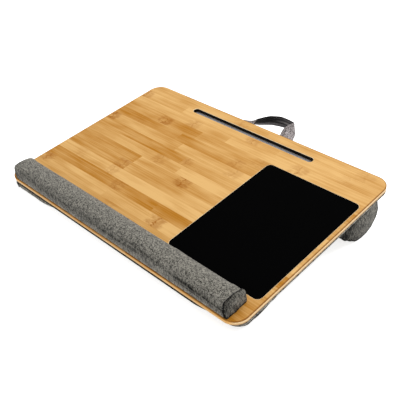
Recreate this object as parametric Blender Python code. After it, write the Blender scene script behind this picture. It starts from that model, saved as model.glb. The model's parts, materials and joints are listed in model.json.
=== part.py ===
"""Lap desk: a bamboo board on a cushioned base, with a wrist rest, a mouse pad and a carrying handle.

Metres, +Z up, +X to the right as the user sees it, the front edge towards -Y. Every piece is placed in
the board's own frame, whose origin is the middle of the front edge on the top face. One empty carries that
frame. It leans the board by the angle at which the thin front cushion and the thick rear cushion both rest
on a table.
"""
import math

import bmesh
import bpy
from mathutils import Matrix, Vector

CLEARANCE = 0.0003
OVERRUN = 0.004
WELD = 0.000001
QUARTER_TURN = math.radians(90)
SHARP_ANGLE = math.radians(38)

# Bamboo board
BOARD_WIDTH = 0.560
BOARD_DEPTH = 0.380
BOARD_THICKNESS = 0.007
BOARD_CORNER_RADIUS = 0.025
BOARD_TOP_ROUND = 0.0012
BOARD_BOTTOM_ROUND = 0.0006
WORK_AREA_MARGIN = 0.002

# Slot that holds a phone or a tablet upright
SLOT_LENGTH = 0.288
SLOT_WIDTH = 0.013
SLOT_FROM_BACK = 0.0285
SLOT_OFFSET = -0.002
SLOT_LIP = 0.0006

# Mouse pad in its recess
PAD_WIDTH = 0.1845
PAD_DEPTH = 0.248
PAD_CORNER_RADIUS = 0.009
PAD_FROM_RIGHT = 0.008
PAD_FROM_FRONT = 0.0535
PAD_THICKNESS = 0.0014
PAD_EDGE_ROUND = 0.0004
RECESS_DEPTH = 0.0009
RECESS_LIP = 0.0004

# Wrist rest along the front edge
REST_LENGTH = 0.5175
REST_WIDTH = 0.046
REST_HEIGHT = 0.030
REST_FROM_FRONT = 0.0015
REST_OFFSET = 0.0018
REST_DOME = 0.0045
REST_END_SHARE = 0.95
REST_TIP_SHARES = (0.78, 0.80)
REST_COVER_THICKNESS = 0.0015
REST_BACKING_THICKNESS = 0.0018
REST_BACKING_CORNER = 0.003

# Fabric base panel under the board, held by strips of foam tape
PANEL_INSET = 0.0004
PANEL_THICKNESS = 0.0044
PANEL_EDGE_ROUND = 0.0018
TAPE_THICKNESS = 0.0008
TAPE_WIDTH = 0.022
TAPE_EDGE_INSET = 0.018
TAPE_CORNER = 0.002

# Rear cushion, a thick roll sewn under the base panel
REAR_WIDTH = 0.119
REAR_THICKNESS = 0.0588
REAR_FROM_BACK = 0.029
REAR_END_INSET = 0.001
REAR_DOME = 0.004
REAR_END_SHARE = 0.955
REAR_TIP_SHARES = (0.0, 0.0)

# Front cushion, thin so that the board slopes towards the user
FRONT_WIDTH = 0.106
FRONT_THICKNESS = 0.0138
FRONT_FROM_FRONT = 0.003
FRONT_END_INSET = 0.001
FRONT_DOME = 0.020
FRONT_END_SHARE = 0.93
FRONT_TIP_SHARES = (0.62, 0.40)

CUSHION_COVER_THICKNESS = 0.0015
SEAM_SHARE = 0.985
FLAT_DEPTH = 0.0005

# Carrying handle, a padded strap whose two sewn ends lie under the base panel's back edge
HANDLE_OFFSET = 0.005
HANDLE_HALF_SPAN = 0.050
HANDLE_REACH = 0.050
HANDLE_WIDTH = 0.028
HANDLE_THICKNESS = 0.0024
HANDLE_ROOT_INSET = 0.0012
TAB_MARGIN = 0.002
TAB_CORNER = 0.002

# Outlines, as shares of a cushion's width and of its thickness, from its front rim round to its back rim
REAR_OUTLINE_SHARES = ((0.0, 0.0), (0.075, 0.19), (0.22, 0.50), (0.36, 0.76), (0.51, 0.93), (0.66, 1.0),
                       (0.80, 0.97), (0.91, 0.84), (0.985, 0.62), (1.0, 0.38), (0.985, 0.16), (0.965, 0.0))
FRONT_OUTLINE_SHARES = ((0.0, 0.0), (0.01, 0.36), (0.06, 0.70), (0.19, 0.94), (0.40, 1.0), (0.62, 0.93),
                        (0.82, 0.67), (0.94, 0.32), (1.0, 0.0))
REST_OUTLINE_SHARES = ((0.03, 0.0), (0.0, 0.22), (0.005, 0.48), (0.05, 0.73), (0.14, 0.90), (0.28, 0.985),
                       (0.43, 1.0), (0.59, 0.965), (0.74, 0.87), (0.87, 0.70), (0.965, 0.45), (1.0, 0.20),
                       (0.975, 0.0))

# The strap's middle line from its left end to its right end: shares of the half span and of the reach, how
# far it stands above its sewn ends as a share of its width, then in degrees its twist from lying flat and its
# lean, which takes the lower edge back and a little to the left
HANDLE_PATH_SHARES = ((-1.0, 0.0, 0.0, 0, 0), (-0.97, 0.08, 0.04, 0, 0), (-0.91, 0.18, 0.12, 2, 0),
                      (-0.85, 0.29, 0.19, 8, 0), (-0.74, 0.42, 0.19, 35, 10), (-0.60, 0.53, 0.15, 65, 20),
                      (-0.41, 0.69, 0.12, 85, 22), (-0.24, 0.82, 0.11, 90, 18), (-0.09, 0.89, 0.11, 90, 15),
                      (0.12, 0.97, 0.11, 90, 11), (0.31, 0.99, 0.11, 90, 11), (0.55, 0.97, 0.12, 90, 10),
                      (0.81, 0.91, 0.13, 90, 8), (0.86, 0.78, 0.13, 78, 3), (0.88, 0.55, 0.15, 55, 0),
                      (0.95, 0.28, 0.17, 12, 0), (0.99, 0.08, 0.05, 3, 0), (1.0, 0.0, 0.0, 0, 0))
HANDLE_LEAN_SHARES = (-0.45, 0.9)

# How finely the curves are drawn
CORNER_STEPS = 7
ROUND_STEPS = 3
SLOT_STEPS = 8
OUTLINE_POINTS = 17
CUSHION_STATIONS = 22
CORE_STATIONS = 10
DOME_STEPS = 4
HANDLE_STATIONS = 44
CURVE_STEPS = 12
END_STEP_SHARE = 0.2
TILT_PASSES = 12

# Places that follow from the sizes above, in the board's frame
BOARD_UNDERSIDE = -BOARD_THICKNESS
PANEL_TOP = BOARD_UNDERSIDE - TAPE_THICKNESS - 2 * CLEARANCE
PANEL_UNDERSIDE = PANEL_TOP - PANEL_THICKNESS
CUSHION_TOP = PANEL_UNDERSIDE - CLEARANCE
REAR_FRONT_Y = BOARD_DEPTH - REAR_FROM_BACK - REAR_WIDTH
HANDLE_ROOT_Y = BOARD_DEPTH - HANDLE_ROOT_INSET
HANDLE_ROOT_Z = PANEL_UNDERSIDE - CLEARANCE - HANDLE_THICKNESS / 2

BAMBOO = ("bamboo", (0.76, 0.52, 0.27), 0.42)
HEATHER = ("grey_heather_fabric", (0.16, 0.16, 0.155), 0.95)
PAD_BLACK = ("mouse_pad_black", (0.012, 0.012, 0.013), 0.6)
FOAM = ("foam", (0.72, 0.70, 0.62), 0.9)
TAPE_WHITE = ("foam_tape", (0.55, 0.55, 0.53), 0.8)
HARDBOARD = ("hardboard", (0.28, 0.18, 0.10), 0.8)


def clear_scene():
    for thing in list(bpy.data.objects):
        bpy.data.objects.remove(thing, do_unlink=True)


def finish_material(look):
    """The material of that name, made on first use."""
    name, colour, roughness = look
    material = bpy.data.materials.get(name)
    if material is None:
        material = bpy.data.materials.new(name)
        material.use_nodes = True
        shader = material.node_tree.nodes["Principled BSDF"]
        shader.inputs["Base Color"].default_value = (*colour, 1.0)
        shader.inputs["Roughness"].default_value = roughness
        shader.inputs["Metallic"].default_value = 0.0
    return material


def rounded_rectangle(width, depth, radius, steps):
    """Corner points of a rounded rectangle round the origin, anticlockwise."""
    reach = min(radius, width / 2, depth / 2)
    points = []
    for quarter in range(4):
        side_x = 1 if quarter in (0, 3) else -1
        side_y = 1 if quarter in (0, 1) else -1
        centre = Vector((side_x * (width / 2 - reach), side_y * (depth / 2 - reach)))
        for step in range(steps + 1):
            angle = QUARTER_TURN * (quarter + step / steps)
            points.append(centre + reach * Vector((math.cos(angle), math.sin(angle))))
    return points


def points_between(points, count):
    """Points on a smooth curve through the given ones, as many between each two."""
    last = len(points) - 1
    even = []
    for step in range(count):
        along = last * step / (count - 1)
        i = min(int(along), last - 1)
        t = along - i
        before = points[max(i - 1, 0)]
        start = points[i]
        end = points[i + 1]
        after = points[min(i + 2, last)]
        pull = 2 * start + (end - before) * t
        bend = (2 * before - 5 * start + 4 * end - after) * t ** 2
        twist = (3 * start - before - 3 * end + after) * t ** 3
        even.append((pull + bend + twist) / 2)
    return even


def smooth_through(points, count):
    """Evenly spaced points, count in all, on a smooth curve through the given ones."""
    last = len(points) - 1
    fine = points_between(points, last * CURVE_STEPS + 1)
    lengths = [0.0]
    for start, end in zip(fine, fine[1:]):
        lengths.append(lengths[-1] + (end - start).length)
    even = []
    place = 0
    for i in range(count):
        wanted = lengths[-1] * i / (count - 1)
        while place < len(lengths) - 2 and lengths[place + 1] < wanted:
            place += 1
        share = (wanted - lengths[place]) / (lengths[place + 1] - lengths[place])
        even.append(fine[place].lerp(fine[place + 1], share))
    return even


def solid_from_rings(name, rings, look, frame, smooth=True):
    """One closed body skinned over rings of equal count, with a face on the first and the last."""
    form = bmesh.new()
    rows = [[form.verts.new(point) for point in ring] for ring in rings]
    for row, following in zip(rows, rows[1:]):
        for i, corner in enumerate(row):
            j = (i + 1) % len(row)
            form.faces.new((corner, row[j], following[j], following[i]))
    form.faces.new(rows[0])
    form.faces.new(rows[-1])
    bmesh.ops.remove_doubles(form, verts=form.verts, dist=WELD)
    bmesh.ops.recalc_face_normals(form, faces=form.faces)
    mesh = bpy.data.meshes.new(name)
    form.to_mesh(mesh)
    form.free()
    if smooth:
        mesh.shade_smooth()
        mesh.set_sharp_from_angle(angle=SHARP_ANGLE)
    mesh.materials.append(finish_material(look))
    thing = bpy.data.objects.new(name, mesh)
    bpy.context.collection.objects.link(thing)
    thing.parent = frame
    return thing


def cut_away(thing, cutter):
    """Takes the cutter's shape out of a piece, and leaves the cutter as a hidden guide."""
    cutter.hide_render = True
    cutter.display_type = "WIRE"
    cut = thing.modifiers.new("cut_" + cutter.name, "BOOLEAN")
    cut.operation = "DIFFERENCE"
    cut.solver = "EXACT"
    cut.object = cutter


def plate_rings(width, depth, radius, steps, levels):
    """Rings of a rounded plate. Each level is a height and how far the outline is drawn in there."""
    rings = []
    for height, inset in levels:
        outline = rounded_rectangle(width - 2 * inset, depth - 2 * inset, radius - inset, steps)
        rings.append([Vector((point.x, point.y, height)) for point in outline])
    return rings


def rounded_levels(top, bottom, top_round, bottom_round):
    """Heights and insets down the side of a plate whose upper and lower edges are rounded."""
    levels = []
    for step in range(ROUND_STEPS + 1):
        angle = QUARTER_TURN * step / ROUND_STEPS
        levels.append((top - top_round * (1 - math.cos(angle)), top_round * (1 - math.sin(angle))))
    for step in range(ROUND_STEPS + 1):
        angle = QUARTER_TURN * (1 - step / ROUND_STEPS)
        levels.append((bottom + bottom_round * (1 - math.cos(angle)), bottom_round * (1 - math.sin(angle))))
    return levels


def build_board(frame):
    levels = rounded_levels(0, BOARD_UNDERSIDE, BOARD_TOP_ROUND, BOARD_BOTTOM_ROUND)
    rings = plate_rings(BOARD_WIDTH, BOARD_DEPTH, BOARD_CORNER_RADIUS, CORNER_STEPS, levels)
    board = solid_from_rings("bamboo_board", rings, BAMBOO, frame)
    board.location = (0, BOARD_DEPTH / 2, 0)
    mark_work_area(board)
    cut_away(board, slot_cutter(frame))
    cut_away(board, recess_cutter(frame))
    return board


def mark_work_area(board):
    """Divides the board's top face so that the clear area which a laptop stands on is a face of its own.

    That area lies left of the mouse pad, between the wrist rest and the slot.
    """
    rest_back = REST_FROM_FRONT + REST_WIDTH + WORK_AREA_MARGIN
    slot_front = BOARD_DEPTH - SLOT_FROM_BACK - SLOT_WIDTH / 2 - SLOT_LIP - WORK_AREA_MARGIN
    pad_left = pad_centre().x - PAD_WIDTH / 2 - CLEARANCE - RECESS_LIP - WORK_AREA_MARGIN
    borders = ((Vector((0, rest_back, 0)), Vector((0, 1, 0))),
               (Vector((0, slot_front, 0)), Vector((0, 1, 0))),
               (Vector((pad_left, 0, 0)), Vector((1, 0, 0))))
    form = bmesh.new()
    form.from_mesh(board.data)
    for place, across in borders:
        top = [face for face in form.faces if min(vertex.co.z for vertex in face.verts) > -WELD]
        edges = {edge for face in top for edge in face.edges}
        corners = {vertex for face in top for vertex in face.verts}
        bmesh.ops.bisect_plane(form, geom=[*corners, *edges, *top], plane_co=place - board.location,
                               plane_no=across)
    form.to_mesh(board.data)
    form.free()


def slot_cutter(frame):
    """A round-ended slot right through the board, with a softened lip on top."""
    levels = ((OVERRUN, -SLOT_LIP), (0, -SLOT_LIP), (-SLOT_LIP, 0), (BOARD_UNDERSIDE - OVERRUN, 0))
    rings = plate_rings(SLOT_LENGTH, SLOT_WIDTH, SLOT_WIDTH / 2, SLOT_STEPS, levels)
    cutter = solid_from_rings("slot_shape", rings, BAMBOO, frame)
    cutter.location = (SLOT_OFFSET, BOARD_DEPTH - SLOT_FROM_BACK, 0)
    return cutter


def pad_centre():
    return Vector((BOARD_WIDTH / 2 - PAD_FROM_RIGHT - PAD_WIDTH / 2, PAD_FROM_FRONT + PAD_DEPTH / 2, 0))


def recess_cutter(frame):
    """A shallow pocket in the board, wider than the mouse pad by the clearance all round."""
    levels = ((OVERRUN, -RECESS_LIP), (0, -RECESS_LIP), (-RECESS_LIP, 0), (-RECESS_DEPTH, 0))
    width = PAD_WIDTH + 2 * CLEARANCE
    depth = PAD_DEPTH + 2 * CLEARANCE
    rings = plate_rings(width, depth, PAD_CORNER_RADIUS + CLEARANCE, CORNER_STEPS, levels)
    cutter = solid_from_rings("recess_shape", rings, BAMBOO, frame)
    cutter.location = pad_centre()
    return cutter


def build_mouse_pad(frame):
    bottom = CLEARANCE - RECESS_DEPTH
    levels = rounded_levels(bottom + PAD_THICKNESS, bottom, PAD_EDGE_ROUND, 0)
    rings = plate_rings(PAD_WIDTH, PAD_DEPTH, PAD_CORNER_RADIUS, CORNER_STEPS, levels)
    pad = solid_from_rings("mouse_pad", rings, PAD_BLACK, frame)
    pad.location = pad_centre()


def cushion_form(name, shares, sizes, inset, flat_level, side, stations, place, look, frame):
    """A stuffed roll lying along X, drawn in by the inset all round, with its flat side at the given level.

    The sizes are the length, the width, the thickness, the dome of the end panels, the share of the section
    that is left at the end seams, and the shares of that section's width and thickness left at the tips.
    The section is fullest at mid length, and each end panel bulges out by the dome. Rings shrink about the
    middle of the flat side, so that side stays level. The side is 1 for a roll that stands up from its flat
    side and -1 for one that hangs below it.
    """
    length, width, thickness, dome, end_share, tip_shares = sizes
    outline = outline_points(shares, width, thickness)
    middle = (outline[0].x + outline[-1].x) / 2
    across_share = 1 - 2 * inset / width
    out_share = 1 - inset / thickness
    seam = length / 2 - inset - dome

    def ring(x, wide_share, thick_share):
        places = [(middle + (p.x - middle) * wide_share * across_share, p.y * thick_share * out_share)
                  for p in outline]
        if flat_level < 0:
            places = [(places[0][0], flat_level), *places, (places[-1][0], flat_level)]
        return [Vector((x, y, side * max(height, flat_level))) for y, height in places]

    end_rings = []
    for step in range(DOME_STEPS):
        angle = QUARTER_TURN * step / DOME_STEPS
        wide, thick = [end_share * SEAM_SHARE * (tip + (1 - tip) * math.sin(angle)) for tip in tip_shares]
        end_rings.append((seam + dome * math.cos(angle), wide, thick))
    rings = [ring(-x, wide, thick) for x, wide, thick in end_rings]
    for i in range(stations + 1):
        along = 2 * i / stations - 1
        seam_share = SEAM_SHARE if i in (0, stations) else 1
        share = seam_share * (1 - (1 - end_share) * along ** 4)
        rings.append(ring(seam * along, share, share))
    rings += [ring(x, wide, thick) for x, wide, thick in reversed(end_rings)]
    form = solid_from_rings(name, rings, look, frame)
    form.location = place
    return form


def outline_points(shares, width, thickness):
    """A cushion's section: y from its front rim and height from its flat side, evenly spaced."""
    corners = [Vector((width * along, thickness * out)) for along, out in shares]
    return smooth_through(corners, OUTLINE_POINTS)


def build_cushion(name, shares, sizes, place, side, cover_thickness, core_level, frame):
    """A sewn cover that is open on its flat side, and the foam core that fills it from the core level on."""
    cover = cushion_form(name + "_cover", shares, sizes, 0, 0, side, CUSHION_STATIONS, place, HEATHER, frame)
    hollow = cushion_form(name + "_hollow", shares, sizes, cover_thickness, -OVERRUN, side, CORE_STATIONS,
                          place, FOAM, frame)
    cut_away(cover, hollow)
    inset = cover_thickness + CLEARANCE
    cushion_form(name + "_foam", shares, sizes, inset, core_level, side, CORE_STATIONS, place, FOAM, frame)
    return cover


def build_wrist_rest(frame):
    sizes = (REST_LENGTH, REST_WIDTH, REST_HEIGHT, REST_DOME, REST_END_SHARE, REST_TIP_SHARES)
    place = Vector((REST_OFFSET, REST_FROM_FRONT, CLEARANCE))
    core_floor = REST_BACKING_THICKNESS + CLEARANCE
    build_cushion("wrist_rest", REST_OUTLINE_SHARES, sizes, place, 1, REST_COVER_THICKNESS, core_floor,
                  frame)

    inset = REST_COVER_THICKNESS + CLEARANCE
    length = REST_END_SHARE * (REST_LENGTH - 2 * REST_DOME - 2 * inset)
    width = SEAM_SHARE * REST_END_SHARE * (REST_WIDTH - 2 * inset) - 2 * inset
    levels = rounded_levels(CLEARANCE + REST_BACKING_THICKNESS, CLEARANCE, 0, 0)
    rings = plate_rings(length, width, REST_BACKING_CORNER, CORNER_STEPS, levels)
    backing = solid_from_rings("wrist_rest_backing", rings, HARDBOARD, frame)
    backing.location = (REST_OFFSET, REST_FROM_FRONT + REST_WIDTH / 2, 0)


def build_base_panel(frame):
    levels = rounded_levels(PANEL_TOP, PANEL_UNDERSIDE, PANEL_EDGE_ROUND, PANEL_EDGE_ROUND)
    width = BOARD_WIDTH - 2 * PANEL_INSET
    depth = BOARD_DEPTH - 2 * PANEL_INSET
    rings = plate_rings(width, depth, BOARD_CORNER_RADIUS - PANEL_INSET, CORNER_STEPS, levels)
    panel = solid_from_rings("base_panel", rings, HEATHER, frame)
    panel.location = (0, BOARD_DEPTH / 2, 0)


def build_tapes(frame):
    """Four strips of foam tape that bond the panel to the board, clear of the slot."""
    top = BOARD_UNDERSIDE - CLEARANCE
    front_y = TAPE_EDGE_INSET + TAPE_WIDTH / 2
    back_y = BOARD_DEPTH - SLOT_FROM_BACK - SLOT_WIDTH / 2 - TAPE_EDGE_INSET - TAPE_WIDTH / 2
    side_x = BOARD_WIDTH / 2 - TAPE_EDGE_INSET - TAPE_WIDTH / 2
    long_length = BOARD_WIDTH - 2 * TAPE_EDGE_INSET
    short_length = back_y - front_y - TAPE_WIDTH - 2 * CLEARANCE
    middle_y = (front_y + back_y) / 2
    strips = (("tape_front", long_length, TAPE_WIDTH, 0, front_y),
              ("tape_back", long_length, TAPE_WIDTH, 0, back_y),
              ("tape_left", TAPE_WIDTH, short_length, -side_x, middle_y),
              ("tape_right", TAPE_WIDTH, short_length, side_x, middle_y))
    for name, width, depth, x, y in strips:
        levels = rounded_levels(top, top - TAPE_THICKNESS, 0, 0)
        rings = plate_rings(width, depth, TAPE_CORNER, ROUND_STEPS, levels)
        strip = solid_from_rings(name, rings, TAPE_WHITE, frame, smooth=False)
        strip.location = (x, y, 0)


def build_base_cushions(frame):
    place = Vector((0, REAR_FRONT_Y, CUSHION_TOP))
    length = BOARD_WIDTH - 2 * REAR_END_INSET
    sizes = (length, REAR_WIDTH, REAR_THICKNESS, REAR_DOME, REAR_END_SHARE, REAR_TIP_SHARES)
    rear = build_cushion("rear_cushion", REAR_OUTLINE_SHARES, sizes, place, -1, CUSHION_COVER_THICKNESS, 0,
                         frame)

    place = Vector((0, FRONT_FROM_FRONT, CUSHION_TOP))
    length = BOARD_WIDTH - 2 * FRONT_END_INSET
    sizes = (length, FRONT_WIDTH, FRONT_THICKNESS, FRONT_DOME, FRONT_END_SHARE, FRONT_TIP_SHARES)
    front = build_cushion("front_cushion", FRONT_OUTLINE_SHARES, sizes, place, -1, CUSHION_COVER_THICKNESS,
                          0, frame)
    return rear, front


def strap_sections():
    """Middle point, width direction and face direction of the strap, from its left end to its right end.

    They are measured from the point midway between its sewn ends. The strap leaves both ends lying flat, and
    twists until it stands on edge, with its inner edge on top, where it runs across behind the board.
    """
    path = []
    turns = []
    for along, reach, rise, twist, lean in HANDLE_PATH_SHARES:
        path.append(Vector((along * HANDLE_HALF_SPAN, reach * HANDLE_REACH, rise * HANDLE_WIDTH)))
        turns.append(Vector((math.radians(twist), math.radians(lean))))
    middles = points_between(path, HANDLE_STATIONS)
    up = Vector((0, 0, 1))
    aside = Vector((*HANDLE_LEAN_SHARES, 0)).normalized()
    sections = []
    for i, (twist, lean) in enumerate(points_between(turns, HANDLE_STATIONS)):
        heading = (middles[min(i + 1, len(middles) - 1)] - middles[max(i - 1, 0)]).normalized()
        lying = math.cos(twist) * Vector((math.copysign(1, middles[i].x), 0, 0))
        hanging = math.sin(lean) * aside - math.cos(lean) * up
        across = (lying + math.sin(twist) * hanging).normalized()
        sections.append((middles[i], across, across.cross(heading).normalized()))
    return sections


def strap_ring(middle, across, normal, thick_share):
    """The strap's section: flat faces, a fuller middle and rounded edges."""
    half_width = HANDLE_WIDTH / 2
    half_thick = HANDLE_THICKNESS / 2 * thick_share
    section_shares = ((1.0, 0.0), (0.94, 0.62), (0.5, 0.85), (0.0, 1.0), (-0.5, 0.85), (-0.94, 0.62),
                      (-1.0, 0.0), (-0.94, -0.62), (-0.5, -0.85), (0.0, -1.0), (0.5, -0.85), (0.94, -0.62))
    return [middle + across * half_width * wide + normal * half_thick * thick
            for wide, thick in section_shares]


def strap_end_ring(section, radius, step):
    """A ring of the half round that closes the strap at its hinge line, just short of its very tip."""
    middle, across, normal = section
    angle = QUARTER_TURN * step / (ROUND_STEPS + END_STEP_SHARE)
    return strap_ring(middle - Vector((0, radius * math.sin(angle), 0)), across, normal, math.cos(angle))


def build_handle(frame):
    pivot = bpy.data.objects.new("handle_pivot", None)
    bpy.context.collection.objects.link(pivot)
    pivot.parent = frame
    pivot.location = (HANDLE_OFFSET, HANDLE_ROOT_Y, HANDLE_ROOT_Z)

    radius = HANDLE_THICKNESS / 2
    sections = strap_sections()
    left_end = [strap_end_ring(sections[0], radius, step) for step in range(ROUND_STEPS, 0, -1)]
    right_end = [strap_end_ring(sections[-1], radius, step) for step in range(1, ROUND_STEPS + 1)]
    rings = left_end + [strap_ring(*section, 1) for section in sections] + right_end
    solid_from_rings("handle_strap", rings, HEATHER, pivot)

    tab_length = REAR_FROM_BACK - HANDLE_ROOT_INSET - radius - CLEARANCE - TAB_MARGIN
    for name, along in (("handle_tab_left", -HANDLE_HALF_SPAN), ("handle_tab_right", HANDLE_HALF_SPAN)):
        levels = rounded_levels(radius, -radius, radius / 2, radius / 2)
        rings = plate_rings(HANDLE_WIDTH, tab_length, TAB_CORNER, ROUND_STEPS, levels)
        tab = solid_from_rings(name, rings, HEATHER, frame)
        back_face = HANDLE_ROOT_Y - radius - CLEARANCE
        tab.location = (HANDLE_OFFSET + along, back_face - tab_length / 2, HANDLE_ROOT_Z)


def underside(shares, width, thickness, front_y):
    """The fullest section of a base cushion, in the board's frame."""
    points = outline_points(shares, width, thickness)
    return [Vector((front_y + point.x, CUSHION_TOP - point.y)) for point in points]


def lowest(points, tilt):
    """The point that a table touches first when the board leans by the tilt, and its height then."""
    return min(((point.x * math.sin(tilt) + point.y * math.cos(tilt)), i) for i, point in enumerate(points))


def resting_pose():
    """The tilt at which both base cushions touch one table, and the height of the frame above it."""
    front = underside(FRONT_OUTLINE_SHARES, FRONT_WIDTH, FRONT_THICKNESS, FRONT_FROM_FRONT)
    rear = underside(REAR_OUTLINE_SHARES, REAR_WIDTH, REAR_THICKNESS, REAR_FRONT_Y)
    tilt = 0.0
    for _ in range(TILT_PASSES):
        touch_front = front[lowest(front, tilt)[1]]
        touch_rear = rear[lowest(rear, tilt)[1]]
        tilt = math.atan2(touch_front.y - touch_rear.y, touch_rear.x - touch_front.x)
    height = -FLAT_DEPTH - min(lowest(front, tilt)[0], lowest(rear, tilt)[0])
    return tilt, height


def build_table_cutter():
    """The block under the table's surface, which presses each base cushion flat where it stands."""
    half = BOARD_WIDTH
    square = rounded_rectangle(2 * half, 2 * half, OVERRUN, 1)
    rings = [[Vector((point.x, point.y, level)) for point in square] for level in (0, -half)]
    return solid_from_rings("table_shape", rings, HEATHER, None, smooth=False)


def centre_over_origin(frame):
    """Moves the frame along Y until the whole object's box is centred over the world's origin."""
    bpy.context.view_layer.update()
    view = bpy.context.evaluated_depsgraph_get()
    reach = []
    for thing in bpy.data.objects:
        if thing.type == "MESH" and not thing.hide_render:
            solid = thing.evaluated_get(view)
            reach += [(solid.matrix_world @ vertex.co).y for vertex in solid.data.vertices]
    frame.location.y -= (min(reach) + max(reach)) / 2
    bpy.context.view_layer.update()


def main():
    clear_scene()
    tilt, height = resting_pose()
    frame = bpy.data.objects.new("board_frame", None)
    bpy.context.collection.objects.link(frame)
    frame.matrix_world = Matrix.Translation((0, 0, height)) @ Matrix.Rotation(tilt, 4, "X")
    build_board(frame)
    build_mouse_pad(frame)
    build_wrist_rest(frame)
    build_base_panel(frame)
    build_tapes(frame)
    table = build_table_cutter()
    for cover in build_base_cushions(frame):
        cut_away(cover, table)
    build_handle(frame)
    centre_over_origin(frame)


main()
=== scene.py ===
"""Looks of the lap desk: laminated bamboo, grey heather cushions, a sunk mouse pad and a sewn strap handle.

Every piece is modelled in the board's own frame, in metres: its origin is the middle of the front edge on
the top face, X runs to the user's right, Y to the back and Z up out of the board.
"""
import json
from math import ceil, copysign, cos, pi, radians, sin

import bmesh
import bpy
import numpy as np
from mathutils import Euler, Matrix, Vector, noise


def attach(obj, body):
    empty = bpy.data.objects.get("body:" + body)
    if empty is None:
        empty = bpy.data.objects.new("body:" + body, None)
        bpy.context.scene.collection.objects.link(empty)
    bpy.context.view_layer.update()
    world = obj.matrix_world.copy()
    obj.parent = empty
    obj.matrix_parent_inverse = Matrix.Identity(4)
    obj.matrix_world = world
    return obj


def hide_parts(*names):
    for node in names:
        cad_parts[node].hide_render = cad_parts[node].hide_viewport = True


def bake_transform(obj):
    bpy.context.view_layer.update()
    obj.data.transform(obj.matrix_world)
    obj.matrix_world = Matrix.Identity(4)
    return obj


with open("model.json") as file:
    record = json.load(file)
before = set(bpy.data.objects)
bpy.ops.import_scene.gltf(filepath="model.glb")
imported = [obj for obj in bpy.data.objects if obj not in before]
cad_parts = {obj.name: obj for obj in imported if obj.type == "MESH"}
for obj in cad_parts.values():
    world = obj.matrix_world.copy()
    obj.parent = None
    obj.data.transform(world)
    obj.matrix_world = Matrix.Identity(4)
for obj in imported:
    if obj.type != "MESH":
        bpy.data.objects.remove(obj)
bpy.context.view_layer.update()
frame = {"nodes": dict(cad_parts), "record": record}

QUARTER_TURN = radians(90)
CLEARANCE = 0.0003  # between pieces that lie against each other
OVERRUN = 0.004  # how far a cutting shape stands out of what it cuts
WELD = 0.000001  # points closer than this are one

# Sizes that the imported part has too
BOARD_WIDTH = 0.560
BOARD_DEPTH = 0.380
BOARD_THICKNESS = 0.007
BOARD_CORNER_RADIUS = 0.025
BOARD_TOP_ROUND = 0.0012
BOARD_BOTTOM_ROUND = 0.0006
SLOT_LENGTH = 0.288
SLOT_WIDTH = 0.013
SLOT_FROM_BACK = 0.0285
SLOT_OFFSET = -0.002
SLOT_LIP = 0.0008
PAD_WIDTH = 0.1845
PAD_DEPTH = 0.248
PAD_CORNER_RADIUS = 0.009
PAD_FROM_RIGHT = 0.008
PAD_FROM_FRONT = 0.0535
PAD_RISE = 0.0008
RECESS_DEPTH = 0.0009
RECESS_LIP = 0.0008
PANEL_INSET = 0.0004
PANEL_TOP = -0.0084
PANEL_THICKNESS = 0.0044
PANEL_EDGE_ROUND = 0.0018
PANEL_UNDERSIDE = PANEL_TOP - PANEL_THICKNESS
CUSHION_TOP = PANEL_UNDERSIDE - CLEARANCE
CUSHION_LENGTH = 0.558
REAR_CUSHION_WIDTH = 0.119
REAR_CUSHION_FROM_BACK = 0.029
HANDLE_OFFSET = 0.005
HANDLE_HALF_SPAN = 0.050
HANDLE_REACH = 0.050
HANDLE_WIDTH = 0.028
HANDLE_THICKNESS = 0.0024
HANDLE_ROOT_Y = 0.3788
HANDLE_ROOT_Z = CUSHION_TOP - HANDLE_THICKNESS / 2
TAB_LENGTH = 0.0243

# Bamboo strips run along X. Each row lists its planks from the left: where a plank starts, how dark it is
# from 0 to 1, where its growth ring lies and how strongly that shows. Places are distances from the left edge
# Some planks at the left are a touch darker, which is painted shade for the dimmer light there
STRIP_WIDTH = 0.0238
FIRST_STRIP = 0.0174
STRIPS = (
    ((0.0, 0.62, 0.21, 0.3), (0.33, 0.72, 0.47, 0.3)),
    ((0.0, 0.40, 0.12, 0.3), (0.27, 0.70, 0.505, 0.2)),
    ((0.0, 0.35, 0.22, 0.3), (0.41, 0.55, 0.52, 0.2)),
    ((0.0, 0.24, 0.016, 0.8), (0.19, 0.20, 0.317, 0.9), (0.46, 0.38, 0.50, 0.3)),
    ((0.0, 0.80, 0.192, 0.7), (0.29, 0.74, 0.46, 0.4)),
    ((0.0, 0.26, 0.060, 0.2), (0.138, 0.06, 0.15, 0.5), (0.40, 0.20, 0.48, 0.3)),
    ((0.0, 0.52, 0.153, 0.7), (0.165, 0.40, 0.42, 0.3)),
    ((0.0, 0.64, 0.050, 0.1), (0.165, 0.36, 0.280, 1.0), (0.42, 0.30, 0.51, 0.4)),
    ((0.0, 0.38, 0.198, 0.5), (0.25, 0.12, 0.45, 0.3)),
    ((0.0, 0.64, 0.105, 0.1), (0.236, 0.50, 0.243, 0.5), (0.43, 0.36, 0.53, 0.3)),
    ((0.0, 0.43, 0.010, 1.0), (0.20, 0.26, 0.335, 0.4), (0.47, 0.24, 0.54, 0.2)),
    ((0.0, 0.68, 0.070, 0.2), (0.175, 0.64, 0.321, 0.5)),
    ((0.0, 0.65, 0.114, 1.0), (0.205, 0.42, 0.355, 0.3)),
    ((0.0, 0.30, 0.170, 0.5), (0.26, 0.18, 0.420, 0.6)),
    ((0.0, 0.28, 0.007, 0.7), (0.12, 0.24, 0.300, 0.6), (0.36, 0.20, 0.50, 0.2)),
    ((0.0, 0.34, 0.245, 0.5), (0.31, 0.24, 0.52, 0.3)),
    ((0.0, 0.26, 0.10, 0.3), (0.28, 0.30, 0.40, 0.3)))

# Short names for the shader's inputs
SOCKETS = {"specular": "Specular IOR Level", "sheen": "Sheen Weight", "coat": "Coat Weight",
           "glow": "Emission Strength"}

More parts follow.
